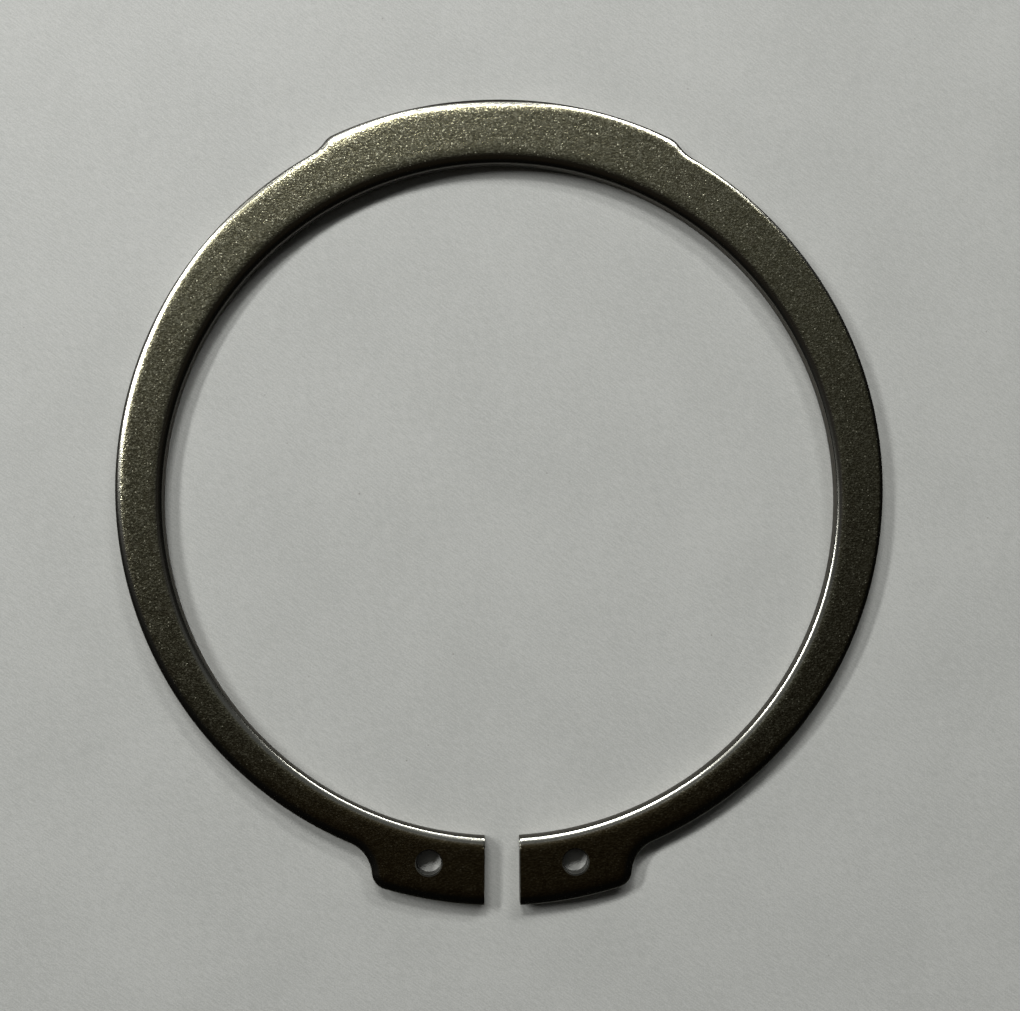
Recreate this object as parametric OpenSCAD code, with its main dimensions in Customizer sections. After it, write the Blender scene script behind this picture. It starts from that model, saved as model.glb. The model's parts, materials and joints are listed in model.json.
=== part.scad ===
// External retaining ring for a 100 mm shaft, free and unstressed, in millimetres.
// The ring lies flat: its underside is z = 0 and its axis is the Z axis.
// The thick section is on +Y and the gap between the lugs is on -Y.

/* [Ring] */
// Inside diameter of the free ring
inner_d = 94.5; // [90:0.5:96]
// Thickness of the strip
thickness = 3; // [2:0.1:4]
// Width of the arms halfway between the thick section and the lugs
arm_w = 6.52; // [5.5:0.01:7.5]
// Shift of the arms' outer circle towards the thick section
arm_shift = 1.57; // [1:0.01:2]

/* [Thick section] */
// How far the thick section stands out from the arms' outer circle
thick_step = 0.94; // [0.7:0.01:1.5]
// Half of the angle that the thick section's outer arc spans
thick_half_angle = 24.9; // [18:0.1:30]
// Radius of its rounded shoulder
shoulder_r = 3.2; // [2:0.1:4]
// Radius of the hollow between its shoulder and the arm
shoulder_hollow_r = 6.7; // [4:0.1:8]

/* [Lugs] */
// How far a lug stands out from the arms' outer circle
lug_step = 4.47; // [3.8:0.01:5.5]
// Angle from the middle of the gap to the end of a lug's outer arc
lug_half_angle = 16.8; // [15.5:0.1:20]
// Radius of a lug's rounded outer corner
lug_corner_r = 2.5; // [1.8:0.1:3]
// Radius of the hollow between a lug and the arm
lug_hollow_r = 5; // [3.5:0.1:6]
// Gap between the lugs at the inside edge
gap_w = 4.85; // [3.5:0.05:7]
// Angle of each lug's end face to the ring's centre line
gap_flare = 0.5; // [0:0.1:3]

/* [Plier holes] */
// Diameter of a hole
hole_d = 3.5; // [2.5:0.1:4]
// Distance from the inside edge to a hole's axis
hole_inset = 4.37; // [3.5:0.01:5.2]
// Angle from the middle of the gap to a hole
hole_angle = 11.44; // [10:0.01:13]
// Width of the break round a hole's upper rim
hole_break = 0.25; // [0.1:0.05:0.4]

/* [Edges] */
// Width of the rolled upper edge, on top of the strip
roll_w = 1.35; // [0.8:0.05:1.6]
// Depth of the rolled upper edge, down the wall
roll_h = 0.5; // [0.3:0.05:0.7]
// Slope where the rolled edge leaves the flat top, in degrees
roll_slope = 6; // [4:1:10]
// Height of the break between the rolled edge and the wall
nose_h = 0.2; // [0.1:0.01:0.3]
// Slope of that break, in degrees
nose_slope = 65; // [55:1:75]
// Width of the break round the underside
under_break = 0.12; // [0.05:0.01:0.25]

/* [Show] */
// Part to draw

/* [Hidden] */
$fn = 180;
// How far neighbouring arcs of the outline run into each other
overlap = 0.05;
// How far a cut runs past the face that it goes through
past = 1;

inner_r = inner_d / 2;
arm_r = inner_r + arm_w;
thick_r = arm_r + arm_shift + thick_step;
lug_r = arm_r - arm_shift + lug_step;
hole_pitch_r = inner_r + hole_inset;
arm_centre = [0, arm_shift];

// The roll is one arc from the flat top to the wall.
roll_chord = norm([roll_w, roll_h]);
roll_chord_slope = atan2(roll_h, roll_w);
roll_r = roll_chord / (2 * sin(roll_chord_slope - roll_slope));
roll_centre = [-roll_w - roll_r * sin(roll_slope), -roll_r * cos(roll_slope)];
nose_top = [-(roll_h + nose_h + past) / tan(nose_slope), past];

// A shoulder or corner of radius r inside an arc of radius outer, at this angle from an end axis.
function corner_centre(outer, r, angle, end) =
    (outer - r + overlap) * [sin(angle), end * cos(angle)];

// The hollow that joins a corner at c, of radius r, to the arm: its centre is beyond both.
function hollow_centre(c, r, hollow, end) =
    let (
        to_arm = arm_r + hollow - overlap,
        to_corner = r + hollow - overlap,
        span = norm(c - arm_centre),
        along = (to_arm * to_arm - to_corner * to_corner + span * span) / (2 * span),
        across = sqrt(to_arm * to_arm - along * along),
        u = (c - arm_centre) / span
    )
    arm_centre + along * u + end * across * [u[1], -u[0]];

shoulder_c = corner_centre(thick_r, shoulder_r, thick_half_angle, 1);
shoulder_hollow_c = hollow_centre(shoulder_c, shoulder_r, shoulder_hollow_r, 1);
lug_corner_c = corner_centre(lug_r, lug_corner_r, lug_half_angle, -1);
lug_hollow_c = hollow_centre(lug_corner_c, lug_corner_r, lug_hollow_r, -1);

// Waste above the rolled edge, with the wall's sharp corner at the origin and the strip on -X.
module roll_waste() {
    difference() {
        translate([-roll_w - 0.1, -roll_h])
            square([roll_w + 0.1 + past, roll_h + past]);
        translate(roll_centre)
            circle(r = roll_r);
    }
    polygon([
        nose_top,
        [0, -roll_h - nose_h],
        [past, -roll_h - nose_h],
        [past, past]
    ]);
}

// Waste below the underside's break, with the wall's sharp corner at the origin.
module under_waste() {
    polygon([
        [-under_break - past, -past],
        [past, under_break + past],
        [past, -past]
    ]);
}

// A round blank of the strip with its edges finished.
module blank(r) {
    rotate_extrude()
        difference() {
            square([r, thickness]);
            translate([r, thickness])
                roll_waste();
            translate([r, 0])
                under_waste();
        }
}

// What is cut away inside an edge that curves round it, such as the bore or a hollow.
module inside_waste(r) {
    rotate_extrude()
        union() {
            translate([0, -past])
                square([r, thickness + 2 * past]);
            translate([r, thickness])
                mirror([1, 0])
                    roll_waste();
            translate([r, 0])
                mirror([1, 0])
                    under_waste();
        }
}

// What is cut away outside a rounded corner, between the directions to its two neighbours.
module outside_waste(r, from, to) {
    middle = (from + to) / 2;
    difference() {
        translate([0, 0, -past])
            linear_extrude(thickness + 2 * past)
                polygon([
                    [0, 0],
                    [3 * r * cos(from), 3 * r * sin(from)],
                    [4 * r * cos(middle), 4 * r * sin(middle)],
                    [3 * r * cos(to), 3 * r * sin(to)]
                ]);
        blank(r);
    }
}

// The part of the strip that stands out from the arms at one end of the Y axis.
module raised(r, c, corner_r, hollow_c, hollow_r, end) {
    reach = end * (r + 5 * past);
    outward = atan2(c[1], c[0]);
    to_hollow = atan2(hollow_c[1] - c[1], hollow_c[0] - c[0]);
    difference() {
        difference() {
            intersection() {
                blank(r);
                translate([0, 0, -past])
                    linear_extrude(thickness + 2 * past)
                        polygon([
                            arm_centre,
                            hollow_c,
                            [hollow_c[0], reach],
                            [-hollow_c[0], reach],
                            [-hollow_c[0], hollow_c[1]]
                        ]);
            }
            translate(hollow_c)
                inside_waste(hollow_r);
            translate([-hollow_c[0], hollow_c[1]])
                inside_waste(hollow_r);
        }
        translate(c)
            outside_waste(corner_r, outward, to_hollow);
        mirror([1, 0, 0])
            translate(c)
                outside_waste(corner_r, outward, to_hollow);
    }
}

module gap() {
    inside_half = gap_w / 2;
    slope = tan(gap_flare);
    near = inner_r - 5;
    far = lug_r + 5;
    translate([0, 0, -past])
        linear_extrude(thickness + 2 * past)
            polygon([
                [-inside_half + 5 * slope, -near],
                [inside_half - 5 * slope, -near],
                [inside_half + (far - inner_r) * slope, -far],
                [-inside_half - (far - inner_r) * slope, -far]
            ]);
}

module plier_hole() {
    hole_r = hole_d / 2;
    rotate([0, 0, hole_angle])
        translate([0, -hole_pitch_r, 0]) {
            translate([0, 0, -past])
                cylinder(h = thickness + 2 * past, r = hole_r);
            translate([0, 0, thickness - hole_break])
                cylinder(h = hole_break + past, r1 = hole_r, r2 = hole_r + hole_break + past);
        }
}

retaining_ring();

module retaining_ring() {
    color([0.2, 0.19, 0.17])
        difference() {
            union() {
                translate(arm_centre)
                    blank(arm_r);
                raised(thick_r, shoulder_c, shoulder_r, shoulder_hollow_c, shoulder_hollow_r, 1);
                raised(lug_r, lug_corner_c, lug_corner_r, lug_hollow_c, lug_hollow_r, -1);
            }
            inside_waste(inner_r);
            gap();
            plier_hole();
            mirror([1, 0, 0])
                plier_hole();
        }
}
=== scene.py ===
import json
import math

import bmesh
import bpy
import numpy as np
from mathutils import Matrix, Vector


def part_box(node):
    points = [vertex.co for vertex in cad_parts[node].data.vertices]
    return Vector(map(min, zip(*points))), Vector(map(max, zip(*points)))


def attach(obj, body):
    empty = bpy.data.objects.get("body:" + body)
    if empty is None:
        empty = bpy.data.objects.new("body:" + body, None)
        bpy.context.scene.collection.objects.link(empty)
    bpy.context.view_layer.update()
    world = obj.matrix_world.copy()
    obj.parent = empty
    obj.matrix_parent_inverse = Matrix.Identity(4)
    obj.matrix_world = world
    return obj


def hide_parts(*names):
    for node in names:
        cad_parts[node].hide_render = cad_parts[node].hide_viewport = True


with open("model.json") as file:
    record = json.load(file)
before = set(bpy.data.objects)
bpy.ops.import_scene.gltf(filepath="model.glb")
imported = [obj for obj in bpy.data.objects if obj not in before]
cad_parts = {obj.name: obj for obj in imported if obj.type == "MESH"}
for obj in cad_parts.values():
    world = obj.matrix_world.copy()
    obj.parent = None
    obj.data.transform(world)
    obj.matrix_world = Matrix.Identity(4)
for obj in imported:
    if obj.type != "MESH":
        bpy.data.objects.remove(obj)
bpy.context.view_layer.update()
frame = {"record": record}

# Driving sizes, in millimetres as in the CAD source
MM = 0.001
NODE = "retaining_ring"
low, high = (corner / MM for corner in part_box(NODE))
mounts = {m["name"]: m for m in frame["record"]["mounts"]}
hole_mounts = [m for name, m in mounts.items() if name.startswith("plier_hole")]

thickness = high.z - low.z
inner_r = mounts["shaft_seat"]["dims"]["r_mm"]
arm_r = high.x
thick_r = high.y
arm_shift = 1.57
thick_half_angle = math.radians(24.9)
shoulder_r = 3.2
shoulder_hollow_r = 6.7
lug_half_angle = math.radians(16.8)
lug_corner_r = 2.5
lug_hollow_r = 5.0
gap_half = 2.425
gap_flare = math.radians(0.5)
gap_half_at_lug_edge = gap_half + (-low.y - inner_r) * math.tan(gap_flare)
lug_r = math.hypot(low.y, gap_half_at_lug_edge)

# The rolled upper edge, from the flat top outwards: distance from the wall, and slope in degrees
ROLL = [
    (1.9, 0), (1.6, 1.5), (1.3, 3.5), (1.05, 6), (0.8, 9.5), (0.6, 13), (0.43, 17.5),
    (0.3, 22), (0.17, 26), (0.03, 30),
]
ROLL_PARTS = 2
NOSE_PARTS = 4
# How much wider the round nose between the roll and the wall is at the inner edge
INNER_NOSE = 0.12
# The roll is wider at some places than at others: angle from +X in degrees, and its size there
OUTER_ROLL = [
    (0, 0.45), (30, 0.45), (45, 0.55), (60, 0.52), (64.5, 0.9), (68, 0.68), (78, 0.62),
    (90, 1.05), (105, 1.0), (115.5, 1.4), (119, 0.9), (124, 0.95), (150, 0.85), (165, 1.0),
    (210, 1.1), (235, 1.25), (305, 1.25), (322, 0.8), (338, 0.5),
]
# And shallower at some places: angle, and the share of its drop there
OUTER_STEEP = [(95, 1.0), (104, 0.68), (140, 0.72), (155, 1.0)]
INNER_ROLL = [
    (0, 0.8), (45, 1.05), (75, 1.3), (135, 1.3), (165, 1.1), (190, 0.9), (225, 0.85),
    (250, 0.9), (262, 1.0), (276, 1.1), (294, 0.95), (318, 0.85), (330, 0.85), (340, 0.85),
]
# Break round the underside
UNDER_BREAK = 0.12
# The rolled edge ends above this height at every place
ROLL_FOOT = thickness - 0.8
# The lower part of the wall broke off in the press and draws in a little towards the underside
BURNISH_DEPTH = 0.45
FRACTURE_DRAW = 0.1
FRACTURE_CURVE = 1.5
WALL_PARTS = 7
TOP_PARTS = 10
UNDER_PARTS = 4
# Break round each end face in the gap, and the angle over which the strip turns into that face
END_BREAK = 0.06
GAP_BLEND = math.radians(8)
# Spacing of the stations along the long arcs and round the corners
LONG_STEP = 0.5
CORNER_STEP = 0.14
# Break round a hole's upper rim
HOLE_LIP = 0.16
# A hole widens by this much below the depth to which the punch cut it clean
HOLE_DRAW = 0.06
HOLE_CLEAN = 1.2
# The bend in that widening: share of the height below the clean cut, and share of the draw
HOLE_BEND = (0.5, 0.6)
# How far a hole's cutter runs past the underside and the top
PAST_UNDERSIDE = 1.0
PAST_TOP = 0.5
HOLE_PARTS = 96
# How far beyond its wall the painted shade of a hole reaches
HOLE_REACH = 0.01
# Edges of the mesh that turn by more than this many degrees stay crisp
CRISP_DEGREES = 30

# Colours of the steel: its coat from thin to thick, in the pits and on the grain's tops
COAT_THIN = (0.212, 0.198, 0.122)
COAT_THICK = (0.258, 0.248, 0.166)
COAT_PIT = (0.150, 0.139, 0.085)
COAT_TOP = (0.38, 0.37, 0.27)
COAT_NEAR_LUGS = (0.165, 0.108, 0.035)
ROLLED = (0.36, 0.355, 0.31)
# Painted shade: the steep nose between the roll and the wall is coloured near black, which draws a
# dark line along the edges
NOSE_PAINTED_SHADE = (0.065, 0.062, 0.056)
BURNISHED = (0.42, 0.405, 0.38)
BROKEN = (0.38, 0.365, 0.34)
# Painted shade: the walls of the plier holes are coloured near black, so the shadow inside them reads
# black
HOLE_PAINTED_SHADE = (0.085, 0.082, 0.075)
WORN_BARE = (0.62, 0.60, 0.46)
# Share of the light that each keeps at a grazing look; the low shares of the nose and the wall are
# painted shade, which darkens them where they are seen at a slant
FLAT_EDGE = (1.0, 1.0, 1.0)
NOSE_EDGE_SHADE = (0.52, 0.52, 0.5)
WALL_EDGE_SHADE = (0.13, 0.13, 0.125)
HOLE_SHADE_EDGE = (0.8, 0.8, 0.78)
# The normal's upward part where the flat top, the nose and the bare wall begin and are full
FLAT_UPRIGHT = (0.972, 0.996)
NOSE_UPRIGHT = (0.82, 0.62)
WALL_UPRIGHT = (0.35, 0.15)
# Heights between which the wall turns from burnished to broken
BROKEN_HEIGHT = (1.95 * MM, 1.6 * MM)
# The coat turns darker and browner towards the lugs: from and to these places along Y
LUG_SIDE_SPAN = (-30.0 * MM, -48.0 * MM)
LUG_SIDE_SHARE = 0.6
# Noises of the coat: swings in a millimetre, octaves, and how much of each octave stays
GRAIN = (4.2, 2.0, 0.6)
COARSE = (1.1, 2.0, 0.5)
MOTTLE = (0.22, 3.0, 0.55)
# Values of the grain between which its tops and its pits show
TOP_SPAN = (0.48, 0.68)
PIT_SPAN = (0.50, 0.34)
# Specks: cells in a millimetre, the distances where one is full and gone, and the numbers of the
# cells that have the faintest and a full one
SPECK_CELLS = 2.4
SPECK_SPAN = (0.10, 0.32)
SPECK_PICK = (0.42, 1.0)
# Nicks: direction in degrees, and the share of the cells that stay empty
NICKS = [(27, 0.93), (-48, 0.94), (82, 0.95)]
NICK_LENGTH = 1.1
NICK_WIDTH = 0.2
NICK_SPAN = (0.10, 0.28)
NICK_SHARE = 0.5
# How much fainter a speck or nick is towards the lugs
LUG_SIDE_HIDES = 0.65
# Roughness: of the flats, what the coarse noise and the tops add, and of the other places
FLAT_ROUGH = 0.19
COARSE_ROUGH = 0.05
TOP_ROUGH = 0.03
ROLL_ROUGH = 0.18
WALL_ROUGH = 0.22
BROKEN_ROUGH = 0.34
WORN_ROUGH = 0.36
WORN_ROUGH_SHARE = 0.8
# Relief in millimetres, and the shares that make it up
STEEL_RELIEF = 0.034
COARSE_SHARE = 0.6
WORN_DEPTH = -0.1
ROLL_SHARE = 0.15
TORN_SHARE = 1.5
# Tear marks: swings in a millimetre across and along the wall's height, and octaves
TEARS_ACROSS = 3.0
TEARS_ALONG = 0.5
TEAR_OCTAVES = 4.0

# Colours and relief of the tabletop
BOARD_DARK = (0.355, 0.361, 0.339)
BOARD_PALE = (0.450, 0.455, 0.430)
BOARD_DUST = (0.16, 0.155, 0.13)
BOARD_GRAIN = (4.5, 2.0, 0.6)
BOARD_CLOUD = (0.05, 4.0, 0.6)
STREAK_TURN = -36
STREAK_LENGTH = 1.6
STREAK_WIDTH = 0.2
STREAK_OCTAVES = 2.0
# Shares of the three in the board's tone, and the tones that are dark and pale
GRAIN_TONE = 0.45
STREAK_TONE = 0.35
CLOUD_TONE = 0.20
TONE_SPAN = (0.36, 0.64)
# Dust: cells in a millimetre, the distances where a grain is full and gone, the numbers of the
# cells that have the faintest and a full one, and how dark a full one is
DUST_CELLS = 0.3
DUST_SPAN = (0.02, 0.05)
DUST_PICK = (0.6, 1.0)
DUST_MOST = 0.6
BOARD_ROUGH = 0.5
BOARD_RELIEF = 0.02
STREAK_RELIEF = 0.5

# Camera, fitted to the outline, the holes and the foot of the inner wall
CAMERA_PLACE = (-7.58, -5.11, 225.0)
CAMERA_TILT = (0.019, -0.0389, 0.0)
CAMERA_LENS = 56.09
CAMERA_SENSOR = 36.0
CAMERA_NEAR = 0.01

# Lamps: azimuth and zenith angle in degrees, distance, width and height in metres, share of the light
LAMPS = {
    "left_window": dict(azimuth=152, zenith=44, distance=1.18, width=0.44, height=0.11, share=0.40),
    "middle_window": dict(azimuth=104, zenith=39, distance=1.10, width=0.36, height=0.15, share=0.40),
    "right_window": dict(azimuth=66, zenith=49, distance=1.28, width=0.50, height=0.14, share=0.185),
}
# The room is pale up to this height of the look, and its ceiling glows round this zenith angle
PALE_SPAN = (0.0, 0.3)
GLOW_ZENITH = math.radians(28)
GLOW_SPAN = (0.862, 0.90)
OVERHEAD_SPAN = (0.82, 0.93)
ROOM_PALE = (0.38, 0.387, 0.37)
ROOM_GLOW = (0.106, 0.111, 0.112)
ROOM_DARK = (0.0012, 0.001, 0.0006)
ROOM_OVERHEAD = (0.0080, 0.0048, 0.0012)
# Floor: half its side in metres, and its depth below the ring in millimetres
FLOOR_HALF = 0.45
FLOOR_DROP = 0.02
# The floor fades into the backdrop from this distance outwards
FLOOR_FADE = 0.22


# Plan view of the ring

def on_circle(centre, radius, angle):
    """The point of a circle at this angle from +X."""
    return np.array(centre) + radius * np.array([math.cos(angle), math.sin(angle)])


def direction(start, end):
    """The angle from +X at which the second point is seen from the first."""
    return math.atan2(end[1] - start[1], end[0] - start[0])


def touching_both(first, first_reach, second, second_reach, side):
    """The point at these distances from two centres, on the chosen side of their line."""
    gap = second - first
    span = np.linalg.norm(gap)
    along = (first_reach**2 - second_reach**2 + span**2) / (2 * span)
    across = math.sqrt(first_reach**2 - along**2)
    u = gap / span
    return first + along * u + side * across * np.array([u[1], -u[0]])


def gap_angle(radius):
    """Angle from -Y at which the right lug's end face crosses a circle about the origin."""
    offset = (gap_half - inner_r * math.tan(gap_flare)) * math.cos(gap_flare)
    return gap_flare + np.arcsin(offset / radius)


def right_half_arcs():
    """The outer edge from the gap to +Y: centre, radius (below 0 in a hollow), angles and step."""
    origin = np.zeros(2)
    arm = np.array([0.0, arm_shift])
    corner = on_circle(origin, lug_r - lug_corner_r, lug_half_angle - math.pi / 2)
    shoulder = on_circle(origin, thick_r - shoulder_r, math.pi / 2 - thick_half_angle)
    lug_hollow = touching_both(
        arm, arm_r + lug_hollow_r, corner, lug_corner_r + lug_hollow_r, -1
    )
    thick_hollow = touching_both(
        arm, arm_r + shoulder_hollow_r, shoulder, shoulder_r + shoulder_hollow_r, 1
    )
    lug_start = gap_angle(lug_r) - math.pi / 2
    lug_end = lug_half_angle - math.pi / 2
    thick_start = math.pi / 2 - thick_half_angle
    from_corner, from_arm = direction(lug_hollow, corner), direction(lug_hollow, arm)
    to_arm, to_shoulder = direction(thick_hollow, arm), direction(thick_hollow, shoulder)
    return [
        (origin, lug_r, lug_start, lug_end, LONG_STEP),
        (corner, lug_corner_r, lug_end, direction(corner, lug_hollow), CORNER_STEP),
        (lug_hollow, -lug_hollow_r, from_corner, from_arm, CORNER_STEP),
        (arm, arm_r, direction(arm, lug_hollow), direction(arm, thick_hollow), LONG_STEP),
        (thick_hollow, -shoulder_hollow_r, to_arm, to_shoulder, CORNER_STEP),
        (shoulder, shoulder_r, direction(shoulder, thick_hollow), thick_start, CORNER_STEP),
        (origin, thick_r, thick_start, math.pi / 2, LONG_STEP),
    ]


def outer_edge():
    """Points round the outer edge, right lug first, and their outward normals."""
    points, normals = [], []
    for centre, radius, start, end, step in right_half_arcs():
        turn = (end - start + math.pi) % (2 * math.pi) - math.pi
        parts = max(2, round(abs(radius * turn) / step))
        for k in range(0 if not points else 1, parts + 1):
            angle = start + turn * k / parts
            points.append(on_circle(centre, abs(radius), angle))
            normals.append(on_circle((0, 0), math.copysign(1, radius), angle))
    flip = np.array([-1.0, 1.0])
    left_points = [p * flip for p in reversed(points[:-1])]
    left_normals = [n * flip for n in reversed(normals[:-1])]
    return np.array(points + left_points), np.array(normals + left_normals)


# Section of the ring

def rolled_edge(more_nose):
    """(inset, drop) pairs from the flat top, over the roll and a small round nose, to the wall."""
    points = [(ROLL[0][0] + more_nose, 0.0)]
    for (far, flatter), (near, steeper) in zip(ROLL, ROLL[1:]):
        for k in range(ROLL_PARTS):
            slope = flatter + (steeper - flatter) * (k + 0.5) / ROLL_PARTS
            run = (far - near) / ROLL_PARTS
            inset, drop = points[-1]
            points.append((inset - run, drop + run * math.tan(math.radians(slope))))
    start = math.radians(ROLL[-1][1])
    nose_r = (ROLL[-1][0] + more_nose) / (1 - math.sin(start))
    inset, drop = points[-1]
    for k in range(1, NOSE_PARTS + 1):
        slope = start + (math.pi / 2 - start) * k / NOSE_PARTS
        points.append((
            inset - nose_r * (math.sin(slope) - math.sin(start)),
            drop + nose_r * (math.cos(start) - math.cos(slope)),
        ))
    return points


def edge_profile(more_nose=0.0):
    """(inset, height) pairs from the flat top, over the edge and down to the underside."""
    roll = [(inset, thickness - drop) for inset, drop in rolled_edge(more_nose)]
    burnish_end = ROLL_FOOT - BURNISH_DEPTH
    wall = [(0.0, ROLL_FOOT), (0.0, burnish_end)]
    for k in range(1, WALL_PARTS + 1):
        share = k / WALL_PARTS
        height = burnish_end + (UNDER_BREAK - burnish_end) * share
        wall.append((FRACTURE_DRAW * share**FRACTURE_CURVE, height))
    return roll + wall + [(FRACTURE_DRAW + UNDER_BREAK, 0.0)]


def section():
    """The closed section: share of the way from outer to inner edge, inset and height."""
    profile = edge_profile()
    inner_profile = edge_profile(INNER_NOSE)
    outer = [(0.0, inset, z) for inset, z in profile]
    under = [(k / UNDER_PARTS, profile[-1][0], 0.0) for k in range(1, UNDER_PARTS)]
    inner = [(1.0, inset, z) for inset, z in reversed(inner_profile)]
    top = [(1 - k / TOP_PARTS, profile[0][0], thickness) for k in range(1, TOP_PARTS)]
    return outer + under + inner + top


def roll_size(table, angle):
    """A table's value at this angle, in a straight line between its rows, right round the ring."""
    degrees, sizes = zip(*table)
    return np.interp(math.degrees(angle), degrees, sizes, period=360)


def place_section(point, normal, angle, shape, shrink):
    """The section's corners in the ring's frame at one place along it."""
    outer_size = roll_size(OUTER_ROLL, angle)
    inner_size = roll_size(INNER_ROLL, angle)
    outer_drop = outer_size * roll_size(OUTER_STEEP, angle)
    corners = []
    for share, inset, z in shape:
        outer_inset = inner_inset = inset
        if z > ROLL_FOOT:
            outer_inset = inset * outer_size
            inner_inset = inset * inner_size
            z = thickness - (thickness - z) * (inner_size if share == 1.0 else outer_drop)
        z = min(max(z, shrink), thickness - shrink)
        outer = point - normal * (outer_inset + shrink)
        inner = on_circle((0, 0), inner_r + inner_inset + shrink, angle)
        corners.append([*(outer + (inner - outer) * share), z])
    return corners


def to_gap_faces(points):
    """Turns the ends about the axis so that they lie in the gap's two flat faces."""
    radius = np.hypot(points[:, 0], points[:, 1])
    side = np.sign(points[:, 0])
    angle = np.arctan2(np.abs(points[:, 0]), -points[:, 1])
    start = gap_angle(lug_r)
    t = np.clip((angle - start) / GAP_BLEND, 0, 1)
    weight = 1 - t * t * (3 - 2 * t)
    near_gap = weight > 0
    turned = angle.copy()
    turned[near_gap] += weight[near_gap] * (gap_angle(radius[near_gap]) - start)
    out = points.copy()
    out[:, 0] = side * radius * np.sin(turned)
    out[:, 1] = -radius * np.cos(turned)
    return out


def mesh_object(name, points, faces):
    """An object in the scene from points in metres and faces."""
    mesh = bpy.data.meshes.new(name)
    mesh.from_pydata([tuple(p) for p in points], [], faces)
    mesh.validate()
    made = bpy.data.objects.new(name, mesh)
    bpy.context.scene.collection.objects.link(made)
    return made


def swept_strip():
    """The ring without its holes: the section carried round, with its two end faces broken."""
    points, normals = outer_edge()
    angles = np.unwrap(np.arctan2(points[:, 1], points[:, 0]))
    step = END_BREAK / lug_r
    for end, inward in ((0, 1), (-1, -1)):
        angle = angles[end] + inward * step
        row = 1 if end == 0 else len(points) - 1
        points = np.insert(points, row, on_circle((0, 0), lug_r, angle), axis=0)
        normals = np.insert(normals, row, on_circle((0, 0), 1, angle), axis=0)
        angles = np.insert(angles, row, angle)
    shape = section()
    corners = []
    for k, (point, normal, angle) in enumerate(zip(points, normals, angles)):
        shrink = END_BREAK if k in (0, len(points) - 1) else 0.0
        corners += place_section(point, normal, angle, shape, shrink)
    corners = to_gap_faces(np.array(corners))
    around = len(shape)
    faces = []
    for k in range(len(points) - 1):
        for j in range(around):
            a, b = k * around + j, k * around + (j + 1) % around
            faces.append((a, b, b + around, a + around))
    faces.append(tuple(reversed(range(around))))
    faces.append(tuple(range((len(points) - 1) * around, len(points) * around)))
    return mesh_object("ring_strip", corners * MM, faces)


# Plier holes

def hole_cutter(mount):
    """A pin with a flared top, which leaves a break round the upper rim."""
    radius = mount["dims"]["r_mm"]
    profile = [
        (radius + HOLE_DRAW, -PAST_UNDERSIDE),
        (radius + HOLE_DRAW, 0.0),
        (radius + HOLE_BEND[1] * HOLE_DRAW, HOLE_BEND[0] * (thickness - HOLE_CLEAN)),
        (radius, thickness - HOLE_CLEAN),
        (radius, thickness - HOLE_LIP),
        (radius + HOLE_LIP + PAST_TOP, thickness + PAST_TOP),
    ]
    x, y, _ = (v / MM for v in mount["pos_m"])
    points, faces = [], []
    for r, z in profile:
        for k in range(HOLE_PARTS):
            px, py = on_circle((x, y), r, 2 * math.pi * k / HOLE_PARTS)
            points.append((px * MM, py * MM, z * MM))
    for row in range(len(profile) - 1):
        for k in range(HOLE_PARTS):
            a, b = row * HOLE_PARTS + k, row * HOLE_PARTS + (k + 1) % HOLE_PARTS
            faces.append((a, b, b + HOLE_PARTS, a + HOLE_PARTS))
    last = (len(profile) - 1) * HOLE_PARTS
    faces.append(tuple(reversed(range(HOLE_PARTS))))
    faces.append(tuple(range(last, last + HOLE_PARTS)))
    return mesh_object("cutter_" + mount["name"], points, faces)


def cut_holes(strip):
    """Cuts the plier holes out of the strip's mesh."""
    cutters = [hole_cutter(m) for m in hole_mounts]
    for cutter in cutters:
        cut = strip.modifiers.new(cutter.name, "BOOLEAN")
        cut.operation = "DIFFERENCE"
        cut.solver = "EXACT"
        cut.object = cutter
    view = bpy.context.evaluated_depsgraph_get()
    cut_mesh = bpy.data.meshes.new_from_object(strip.evaluated_get(view))
    strip.modifiers.clear()
    strip.data = cut_mesh
    for cutter in cutters:
        bpy.data.objects.remove(cutter)


def shade(strip, sharp_degrees):
    """Smooth faces, with the edges sharper than this angle left crisp."""
    shape = bmesh.new()
    shape.from_mesh(strip.data)
    bmesh.ops.recalc_face_normals(shape, faces=shape.faces)
    for face in shape.faces:
        face.smooth = True
    limit = math.radians(sharp_degrees)
    for edge in shape.edges:
        edge.smooth = len(edge.link_faces) == 2 and edge.calc_face_angle(math.pi) < limit
    shape.to_mesh(strip.data)
    shape.free()


# Material helpers

def new_material(name):
    """A material with its node tree and its shader."""
    material = bpy.data.materials.new(name)
    material.use_nodes = True
    tree = material.node_tree
    return material, tree, tree.nodes["Principled BSDF"]


def node(tree, kind, inputs=None, **settings):
    """Adds a node. An input given as a socket is linked, and any other value is set."""
    made = tree.nodes.new(kind)
    for name, value in settings.items():
        setattr(made, name, value)
    for key, value in (inputs or {}).items():
        if isinstance(value, bpy.types.NodeSocket):
            tree.links.new(value, made.inputs[key])
        else:
            made.inputs[key].default_value = value
    return made


def math_node(tree, operation, *values):
    """One sum of sockets and numbers."""
    return node(tree, "ShaderNodeMath", dict(enumerate(values)), operation=operation).outputs[0]


def ramp_between(tree, value, start, end, to_start=0.0, to_end=1.0):
    """Maps start..end to to_start..to_end with soft ends."""
    ends = {"From Min": start, "From Max": end, "To Min": to_start, "To Max": to_end}
    return node(
        tree, "ShaderNodeMapRange", {"Value": value, **ends}, interpolation_type="SMOOTHSTEP"
    ).outputs["Result"]


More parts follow.
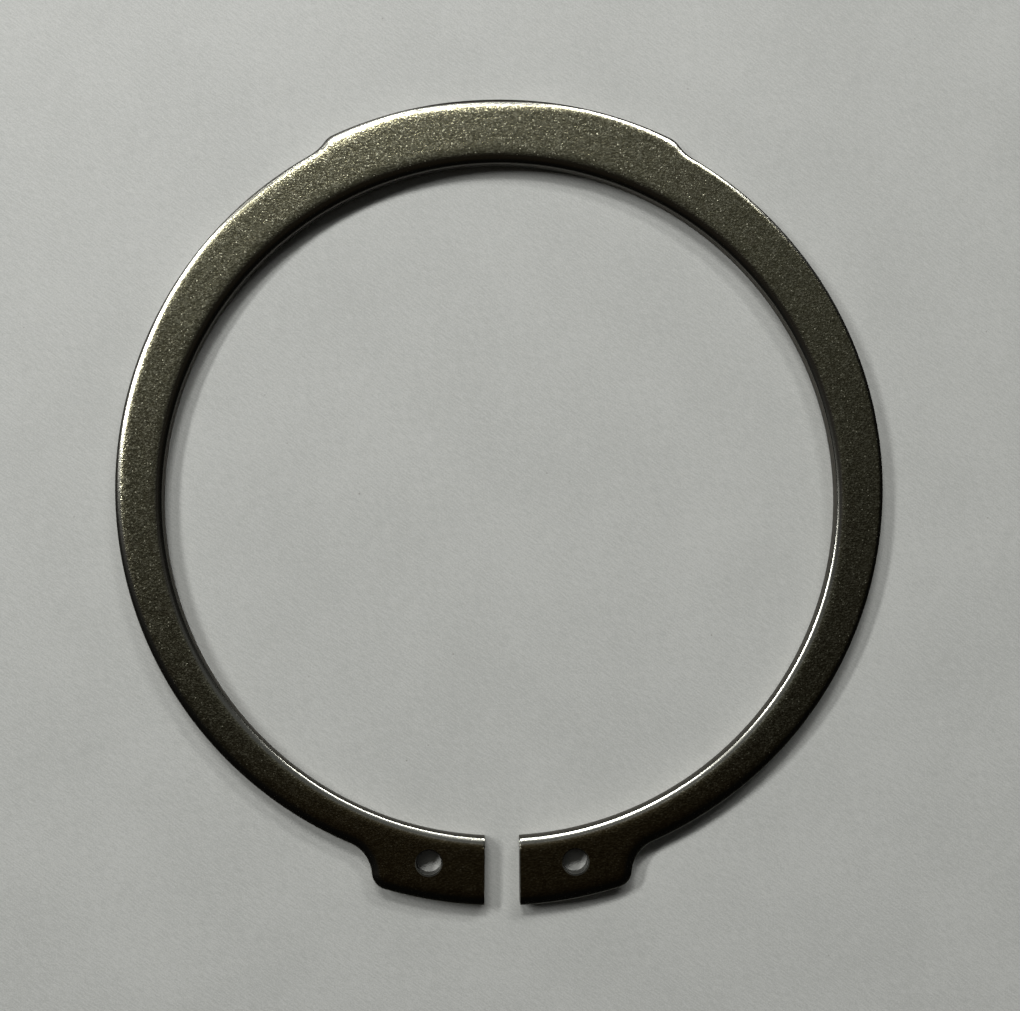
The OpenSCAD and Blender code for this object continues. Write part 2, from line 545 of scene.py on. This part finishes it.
def mix(tree, share, first, second):
    """Blends two colours, each given as a socket or as three numbers."""
    made = node(tree, "ShaderNodeMix", {"Factor": share}, data_type="RGBA")
    for socket, value in ((made.inputs[6], first), (made.inputs[7], second)):
        if isinstance(value, bpy.types.NodeSocket):
            tree.links.new(value, socket)
        else:
            socket.default_value = (*value, 1.0)
    return made.outputs[2]


def mix_value(tree, share, first, second):
    """Blends two numbers."""
    return node(
        tree, "ShaderNodeMix", {"Factor": share, "A": first, "B": second}, data_type="FLOAT"
    ).outputs[0]


def stretched(tree, place, turn, long, short):
    """Coordinates whose cells are this long and short, in millimetres, and turned this much."""
    return node(
        tree,
        "ShaderNodeMapping",
        {
            "Vector": place,
            "Rotation": (0, 0, math.radians(turn)),
            "Scale": (long * MM, short * MM, MM),
        },
        vector_type="TEXTURE",
    ).outputs["Vector"]


def noise(tree, place, per_mm, detail, rough):
    """Cloudy noise: swings in a millimetre, octaves, and how much of each octave stays."""
    return node(
        tree,
        "ShaderNodeTexNoise",
        {"Vector": place, "Scale": per_mm / MM, "Detail": detail, "Roughness": rough},
    ).outputs["Fac"]


def drawn_noise(tree, drawn_out, octaves):
    """Noise in coordinates that are already stretched."""
    return node(
        tree, "ShaderNodeTexNoise", {"Vector": drawn_out, "Scale": 1.0, "Detail": octaves}
    ).outputs["Fac"]


def relief_on(tree, shader, height, depth):
    """Raises the surface by this height, over this depth in millimetres."""
    bump = node(
        tree, "ShaderNodeBump", {"Height": height, "Distance": depth * MM, "Strength": 1.0}
    )
    tree.links.new(bump.outputs["Normal"], shader.inputs["Normal"])


def dots(tree, place, scale, full, none):
    """Round spots in scattered cells: nearness to a spot, and a number of each cell's own."""
    cells = node(tree, "ShaderNodeTexVoronoi", {"Vector": place, "Scale": scale})
    near = ramp_between(tree, cells.outputs["Distance"], full, none, 1.0, 0.0)
    pick = node(tree, "ShaderNodeSeparateColor", {"Color": cells.outputs["Color"]}).outputs[0]
    return near, pick


# Steel

def scratches(tree, place, turn, rarity):
    """Short thin nicks that run one way: stretched cells, of which a few are drawn."""
    cells = stretched(tree, place, turn, NICK_LENGTH, NICK_WIDTH)
    near, pick = dots(tree, cells, 1.0, *NICK_SPAN)
    return math_node(tree, "MULTIPLY", near, math_node(tree, "GREATER_THAN", pick, rarity))


def in_a_hole(tree, place):
    """1 on the walls of the plier holes, and 0 elsewhere."""
    flat_place = node(
        tree, "ShaderNodeVectorMath", {0: place, 1: (1, 1, 0)}, operation="MULTIPLY"
    ).outputs["Vector"]
    found = 0.0
    for mount in hole_mounts:
        x, y, _ = mount["pos_m"]
        away = node(
            tree, "ShaderNodeVectorMath", {0: flat_place, 1: (x, y, 0)}, operation="DISTANCE"
        ).outputs["Value"]
        reach = (mount["dims"]["r_mm"] + HOLE_DRAW + HOLE_REACH) * MM
        found = math_node(tree, "MAXIMUM", math_node(tree, "LESS_THAN", away, reach), found)
    return found


def worn_spots(tree, place, flat, lug_side):
    """Bright specks and nicks where tumbling wore the coat of the flats, fainter towards the lugs."""
    speck_near, speck_pick = dots(tree, place, SPECK_CELLS / MM, *SPECK_SPAN)
    speck = math_node(tree, "MULTIPLY", speck_near, ramp_between(tree, speck_pick, *SPECK_PICK))
    nicks = 0.0
    for turn, rarity in NICKS:
        nicks = math_node(tree, "MAXIMUM", scratches(tree, place, turn, rarity), nicks)
    worn = math_node(tree, "MAXIMUM", speck, math_node(tree, "MULTIPLY", nicks, NICK_SHARE))
    worn = math_node(tree, "MULTIPLY", worn, flat)
    speck_kept = math_node(tree, "MULTIPLY_ADD", lug_side, -LUG_SIDE_HIDES, 1.0)
    return math_node(tree, "MULTIPLY", worn, speck_kept)


def wall_streaks(tree, place):
    """Upright tear marks of the broken band."""
    scale = (TEARS_ACROSS / MM, TEARS_ACROSS / MM, TEARS_ALONG / MM)
    drawn_out = node(tree, "ShaderNodeMapping", {"Vector": place, "Scale": scale}).outputs["Vector"]
    return drawn_noise(tree, drawn_out, TEAR_OCTAVES)


def steel():
    """Dark spring steel: tumbled flats, smooth rolled edges, burnished and broken walls."""
    material, tree, shader = new_material("ring_steel")
    where = node(tree, "ShaderNodeTexCoord")
    place = where.outputs["Object"]
    parts = node(tree, "ShaderNodeSeparateXYZ", {"Vector": place}).outputs
    lug_side = ramp_between(tree, parts["Y"], *LUG_SIDE_SPAN)
    facing = node(tree, "ShaderNodeSeparateXYZ", {"Vector": where.outputs["Normal"]}).outputs
    upright = facing["Z"]
    flat = ramp_between(tree, upright, *FLAT_UPRIGHT)
    nose = ramp_between(tree, upright, *NOSE_UPRIGHT)
    wall = ramp_between(tree, upright, *WALL_UPRIGHT)
    broken = math_node(tree, "MULTIPLY", nose, ramp_between(tree, parts["Z"], *BROKEN_HEIGHT))
    hole_shade = in_a_hole(tree, place)

    grain = noise(tree, place, *GRAIN)
    coarse = noise(tree, place, *COARSE)
    mottle = noise(tree, place, *MOTTLE)
    tops = ramp_between(tree, grain, *TOP_SPAN)
    worn = worn_spots(tree, place, flat, lug_side)

    coat = mix(tree, mottle, COAT_THIN, COAT_THICK)
    coat = mix(tree, ramp_between(tree, grain, *PIT_SPAN), coat, COAT_PIT)
    coat = mix(tree, tops, coat, COAT_TOP)
    coat = mix(tree, math_node(tree, "MULTIPLY", lug_side, LUG_SIDE_SHARE), coat, COAT_NEAR_LUGS)
    colour = mix(tree, flat, ROLLED, coat)
    # Painted shade: the steep nose turns near black
    colour = mix(tree, nose, colour, NOSE_PAINTED_SHADE)
    colour = mix(tree, wall, colour, mix(tree, broken, BURNISHED, BROKEN))
    # Painted shade: the walls of the plier holes turn near black
    colour = mix(tree, hole_shade, colour, HOLE_PAINTED_SHADE)
    colour = mix(tree, worn, colour, WORN_BARE)
    tree.links.new(colour, shader.inputs["Base Color"])
    # Painted shade: the nose and the walls keep little of their reflection at a slant
    edge_tint = mix(tree, nose, FLAT_EDGE, mix(tree, wall, NOSE_EDGE_SHADE, WALL_EDGE_SHADE))
    edge_tint = mix(tree, hole_shade, edge_tint, HOLE_SHADE_EDGE)
    tree.links.new(edge_tint, shader.inputs["Specular Tint"])

    rough_flat = math_node(tree, "MULTIPLY_ADD", coarse, COARSE_ROUGH, FLAT_ROUGH)
    rough_flat = math_node(tree, "MULTIPLY_ADD", tops, TOP_ROUGH, rough_flat)
    rough = mix_value(tree, flat, ROLL_ROUGH, rough_flat)
    rough = mix_value(tree, nose, rough, WALL_ROUGH)
    rough = mix_value(tree, broken, rough, BROKEN_ROUGH)
    worn_share = math_node(tree, "MULTIPLY", worn, WORN_ROUGH_SHARE)
    rough = mix_value(tree, worn_share, rough, WORN_ROUGH)
    tree.links.new(rough, shader.inputs["Roughness"])
    shader.inputs["Metallic"].default_value = 1.0

    tumbled = math_node(tree, "MULTIPLY_ADD", coarse, COARSE_SHARE, grain)
    tumbled = math_node(tree, "MULTIPLY_ADD", worn, WORN_DEPTH, tumbled)
    tumbled = math_node(tree, "MULTIPLY", tumbled, mix_value(tree, flat, ROLL_SHARE, 1.0))
    torn = math_node(tree, "MULTIPLY", wall_streaks(tree, place), TORN_SHARE)
    relief_on(tree, shader, mix_value(tree, broken, tumbled, torn), STEEL_RELIEF)
    return material


# Floor

def hairlines(tree, place):
    """Fine streaks that run one way across the board."""
    drawn_out = stretched(tree, place, STREAK_TURN, STREAK_LENGTH, STREAK_WIDTH)
    return drawn_noise(tree, drawn_out, STREAK_OCTAVES)


def fade_out(tree, shader, place):
    """Lets the backdrop through towards the floor's rim."""
    away = node(tree, "ShaderNodeVectorMath", {0: place}, operation="LENGTH").outputs["Value"]
    faded = ramp_between(tree, away, FLOOR_FADE, FLOOR_HALF)
    clear = node(tree, "ShaderNodeBsdfTransparent").outputs["BSDF"]
    blend = node(tree, "ShaderNodeMixShader", {0: faded, 1: shader.outputs["BSDF"], 2: clear})
    tree.links.new(blend.outputs["Shader"], tree.nodes["Material Output"].inputs["Surface"])


def tabletop():
    """Pale painted board, faintly brushed, with a fine grain and a little dust."""
    material, tree, shader = new_material("tabletop")
    place = node(tree, "ShaderNodeTexCoord").outputs["Object"]
    grain = noise(tree, place, *BOARD_GRAIN)
    cloud = noise(tree, place, *BOARD_CLOUD)
    lines = hairlines(tree, place)
    tone = math_node(tree, "MULTIPLY", grain, GRAIN_TONE)
    tone = math_node(tree, "MULTIPLY_ADD", lines, STREAK_TONE, tone)
    tone = math_node(tree, "MULTIPLY_ADD", cloud, CLOUD_TONE, tone)
    colour = mix(tree, ramp_between(tree, tone, *TONE_SPAN), BOARD_DARK, BOARD_PALE)
    dust_near, dust_pick = dots(tree, place, DUST_CELLS / MM, *DUST_SPAN)
    dust_share = ramp_between(tree, dust_pick, *DUST_PICK, 0.0, DUST_MOST)
    colour = mix(tree, math_node(tree, "MULTIPLY", dust_near, dust_share), colour, BOARD_DUST)
    tree.links.new(colour, shader.inputs["Base Color"])
    shader.inputs["Roughness"].default_value = BOARD_ROUGH
    skin = math_node(tree, "MULTIPLY_ADD", lines, STREAK_RELIEF, grain)
    relief_on(tree, shader, skin, BOARD_RELIEF)
    fade_out(tree, shader, place)
    return material


# Build

ring = swept_strip()
cut_holes(ring)
shade(ring, CRISP_DEGREES)
ring.data.materials.clear()
ring.data.materials.append(steel())
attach(ring, "root")
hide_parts(NODE)

floor_corners = [(-1, -1), (1, -1), (1, 1), (-1, 1)]
floor = mesh_object(
    "tabletop",
    [(x * FLOOR_HALF, y * FLOOR_HALF, -FLOOR_DROP * MM) for x, y in floor_corners],
    [(0, 1, 2, 3)],
)
floor.data.materials.append(tabletop())


# Light and camera

def softbox(name, azimuth, zenith, distance, width, height, share):
    """A flat lamp that faces the ring. At a full share, a surface's colour is its brightness."""
    lamp = bpy.data.lights.new(name, "AREA")
    lamp.shape = "RECTANGLE"
    lamp.size = width
    lamp.size_y = height
    a, z = math.radians(azimuth), math.radians(zenith)
    lamp.energy = share * math.pi**2 * distance**2 / math.cos(z)
    made = bpy.data.objects.new(name, lamp)
    away = Vector((math.sin(z) * math.cos(a), math.sin(z) * math.sin(a), math.cos(z)))
    made.location = away * distance
    made.rotation_mode = "QUATERNION"
    made.rotation_quaternion = away.to_track_quat("Z", "Y")
    made.visible_camera = False
    bpy.context.scene.collection.objects.link(made)


def room():
    """Pale low down all round, and dark overhead with a faint glow before the windows."""
    world = bpy.data.worlds.new("room")
    world.use_nodes = True
    tree = world.node_tree
    look = node(tree, "ShaderNodeTexCoord").outputs["Generated"]
    up = node(tree, "ShaderNodeSeparateXYZ", {"Vector": look}).outputs["Z"]
    glow_way = (0, math.sin(GLOW_ZENITH), math.cos(GLOW_ZENITH))
    near_glow = node(
        tree, "ShaderNodeVectorMath", {0: look, 1: glow_way}, operation="DOT_PRODUCT"
    ).outputs["Value"]
    overhead = mix(tree, ramp_between(tree, up, *OVERHEAD_SPAN), ROOM_DARK, ROOM_OVERHEAD)
    ceiling = mix(tree, ramp_between(tree, near_glow, *GLOW_SPAN), overhead, ROOM_GLOW)
    colour = mix(tree, ramp_between(tree, up, *PALE_SPAN), ROOM_PALE, ceiling)
    tree.links.new(colour, tree.nodes["Background"].inputs["Color"])
    bpy.context.scene.world = world


def place_camera():
    """Above the ring and a little to the left of its axis, as the photograph was taken."""
    camera = bpy.data.objects.new("camera", bpy.data.cameras.new("camera"))
    camera.location = [v * MM for v in CAMERA_PLACE]
    camera.rotation_euler = CAMERA_TILT
    camera.data.lens = CAMERA_LENS
    camera.data.sensor_width = CAMERA_SENSOR
    camera.data.clip_start = CAMERA_NEAR
    bpy.context.scene.collection.objects.link(camera)
    bpy.context.scene.camera = camera


for lamp_name, lamp_place in LAMPS.items():
    softbox(lamp_name, **lamp_place)
room()
place_camera()
bpy.context.scene.view_settings.view_transform = "Standard"
